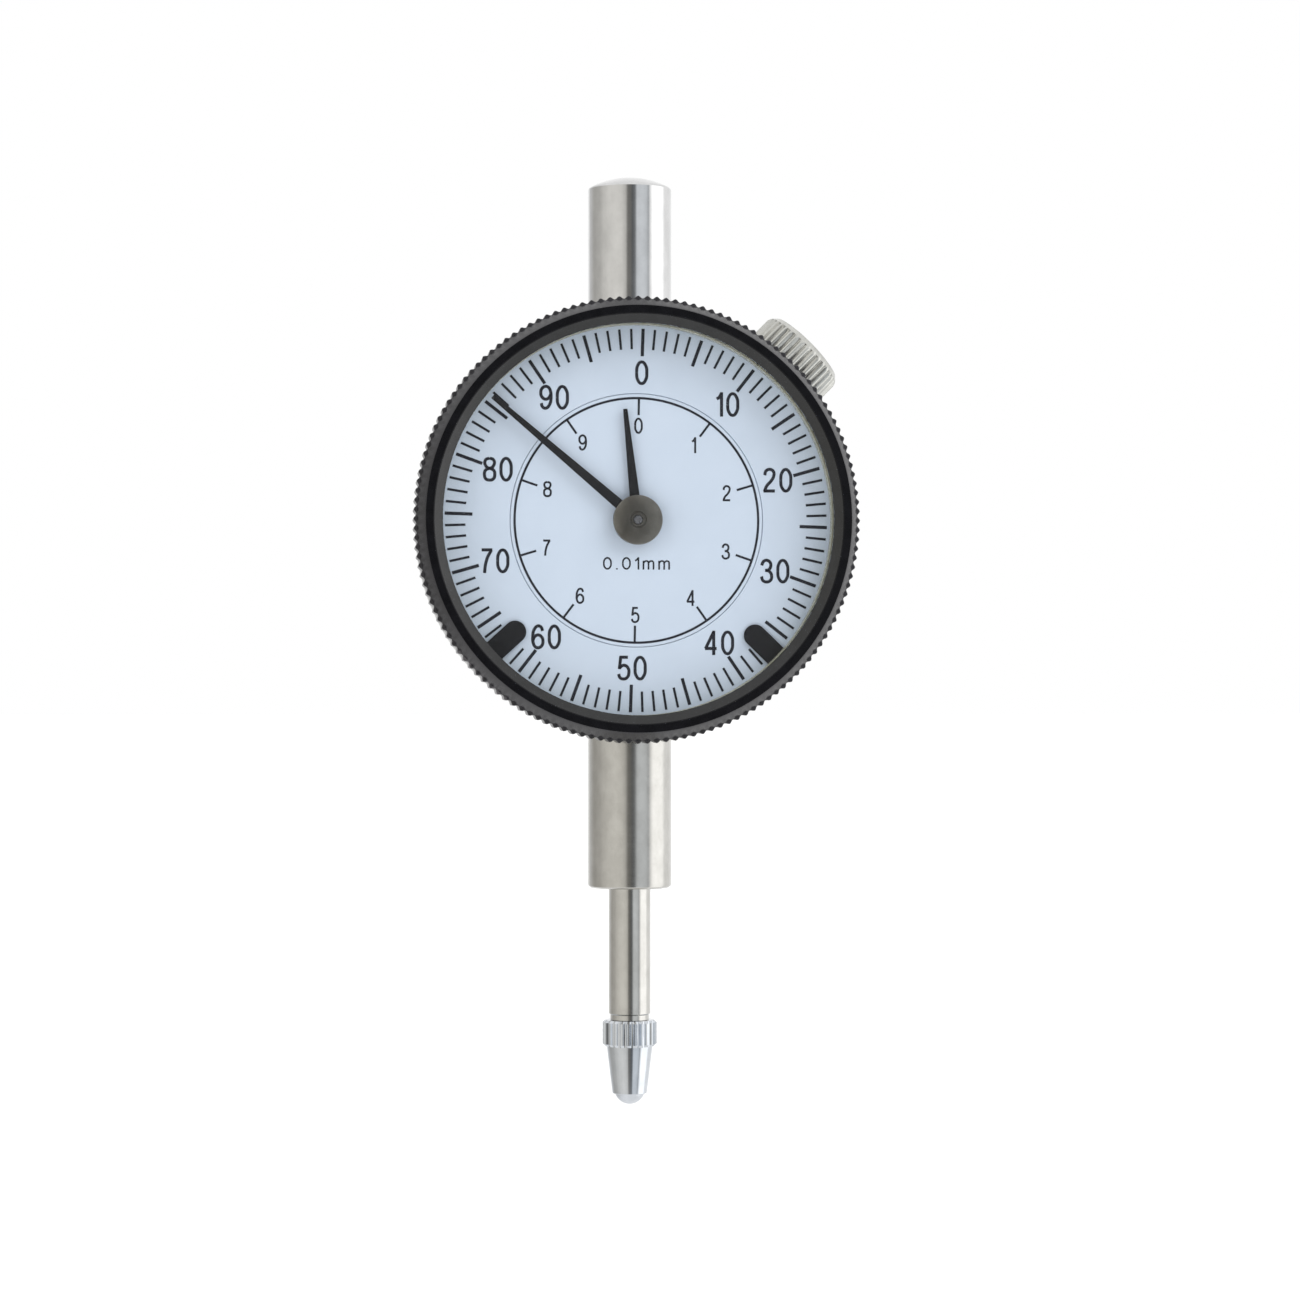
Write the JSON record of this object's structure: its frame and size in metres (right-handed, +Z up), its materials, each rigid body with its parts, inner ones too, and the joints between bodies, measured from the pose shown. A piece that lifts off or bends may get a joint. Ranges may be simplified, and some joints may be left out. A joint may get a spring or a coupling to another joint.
{
  "type": "dial indicator",
  "caption": "Lug-back plunger dial indicator with a turning knurled bezel, two concentric hands, limit markers, a bezel clamp and a round mounting stem.",
  "frame": {"origin": "on the spindle axis at the middle of the exposed 8 mm stem, 7 mm above the stem's lower end, where a clamp holds the indicator", "axes": "+Z up along the spindle, away from the contact point; the dial faces -Y; +X is right as the dial is read"},
  "size_m": [0.042, 0.0319, 0.089],
  "materials": {
    "satin_case": "satin",
    "ground_steel": "ground",
    "chrome": "polished",
    "dull_nickel": "dull nickel plate",
    "ivory_plastic": "moulded ivory plastic",
    "black_anodised": "black anodised satin",
    "dial_white": "matte paint",
    "hand_black": "satin black",
    "clear_crystal": "clear",
    "brass": "turned",
    "bronze": "turned",
    "tool_steel": "turned",
    "spring_steel": "blued",
    "red_fibre": "fibre"
  },
  "bodies": {
    "case": {"case_body": "satin_case", "stem": "ground_steel", "stem_bush": "bronze", "stop_washer": "red_fibre", "upper_bush": "bronze", "spindle_cap": "chrome", "back_cover": "satin_case", "back_screw_1": "tool_steel", "back_screw_2": "tool_steel", "back_screw_3": "tool_steel", "back_screw_4": "tool_steel", "movement_bridge": "brass", "bridge_pillar_1": "brass", "bridge_pillar_2": "brass", "bridge_pillar_3": "brass", "bridge_screw_1": "tool_steel", "bridge_screw_2": "tool_steel", "bridge_screw_3": "tool_steel", "centre_cock": "brass", "cock_screw_1": "tool_steel", "cock_screw_2": "tool_steel", "guide_channel": "brass", "channel_screw_1": "tool_steel", "channel_screw_2": "tool_steel", "inner_dial": "dial_white", "spring_post": "tool_steel", "hairspring_stud": "brass", "return_spring": "spring_steel", "hairspring": "spring_steel"},
    "plunger": {"spindle": "ground_steel", "guide_pin": "tool_steel", "stop_collar": "bronze", "contact_point": "chrome", "contact_ball": "chrome"},
    "rack_gear": {"rack_arbor": "tool_steel", "rack_pinion": "tool_steel", "main_wheel": "brass", "counter_drive_wheel": "brass"},
    "long_hand": {"centre_arbor": "tool_steel", "centre_pinion": "tool_steel", "main_hand": "hand_black", "hand_hub_cap": "ground_steel"},
    "short_hand": {"counter_pipe": "brass", "counter_wheel": "brass", "counter_hand": "hand_black"},
    "takeup_gear": {"takeup_arbor": "tool_steel", "takeup_wheel": "brass", "hairspring_collet": "brass"},
    "bezel": {"bezel": "black_anodised", "crystal": "clear_crystal", "crystal_ring": "ivory_plastic", "dial_ring": "dial_white", "dial_ring_clip": "spring_steel", "bezel_snap_ring": "spring_steel"},
    "right_marker": {"limit_marker_right": "hand_black"},
    "left_marker": {"limit_marker_left": "hand_black"},
    "clamp_shoe": {"clamp_shoe": "tool_steel"},
    "clamp_knob": {"clamp_knob": "dull_nickel"}
  },
  "joints": [
    {"name": "plunger_slide", "type": "slide", "parent": "case", "child": "plunger", "axis": [0, 0, 1], "range_m": [0, 0.0105], "stiffness_N_per_m": 60, "springref_m": -0.01, "deforming": ["return_spring"]},
    {"name": "rack_gear_turn", "type": "hinge", "parent": "case", "child": "rack_gear", "pos_m": [-0.00299, 0, 0.03559], "axis": [0, 1, 0], "range_deg": [-380, 2]},
    {"name": "long_hand_turn", "type": "hinge", "parent": "case", "child": "long_hand", "pos_m": [0, 0, 0.0279], "axis": [0, 1, 0], "range_deg": [-2, 3782]},
    {"name": "short_hand_turn", "type": "hinge", "parent": "case", "child": "short_hand", "pos_m": [0, 0, 0.0279], "axis": [0, 1, 0], "range_deg": [-2, 380]},
    {"name": "takeup_gear_turn", "type": "hinge", "parent": "case", "child": "takeup_gear", "pos_m": [0.00299, 0, 0.02021], "axis": [0, 1, 0], "range_deg": [-380, 2], "deforming": ["hairspring"]},
    {"name": "bezel_turn", "type": "hinge", "parent": "case", "child": "bezel", "pos_m": [0, 0, 0.0279], "axis": [0, 1, 0], "continuous": true},
    {"name": "right_marker_turn", "type": "hinge", "parent": "bezel", "child": "right_marker", "pos_m": [0, 0, 0.0279], "axis": [0, 1, 0], "range_deg": [-126, 40]},
    {"name": "left_marker_turn", "type": "hinge", "parent": "bezel", "child": "left_marker", "pos_m": [0, 0, 0.0279], "axis": [0, 1, 0], "range_deg": [-41, 124]},
    {"name": "clamp_shoe_slide", "type": "slide", "parent": "case", "child": "clamp_shoe", "axis": [0.7071, 0, 0.7071], "range_m": [0, 0.00045]},
    {"name": "clamp_knob_turn", "type": "hinge", "parent": "clamp_shoe", "child": "clamp_knob", "pos_m": [0, 0, 0.0279], "axis": [0.7071, 0, 0.7071], "range_deg": [-2, 362]}
  ],
  "couplings": [
    {"joint": "rack_gear_turn", "follows": "plunger_slide", "rad_per_m": -628.32},
    {"joint": "long_hand_turn", "follows": "plunger_slide", "rad_per_m": 6283.2},
    {"joint": "short_hand_turn", "follows": "plunger_slide", "rad_per_m": 628.32},
    {"joint": "takeup_gear_turn", "follows": "plunger_slide", "rad_per_m": -628.32},
    {"joint": "clamp_knob_turn", "follows": "clamp_shoe_slide", "rad_per_m": 13963}
  ]
}
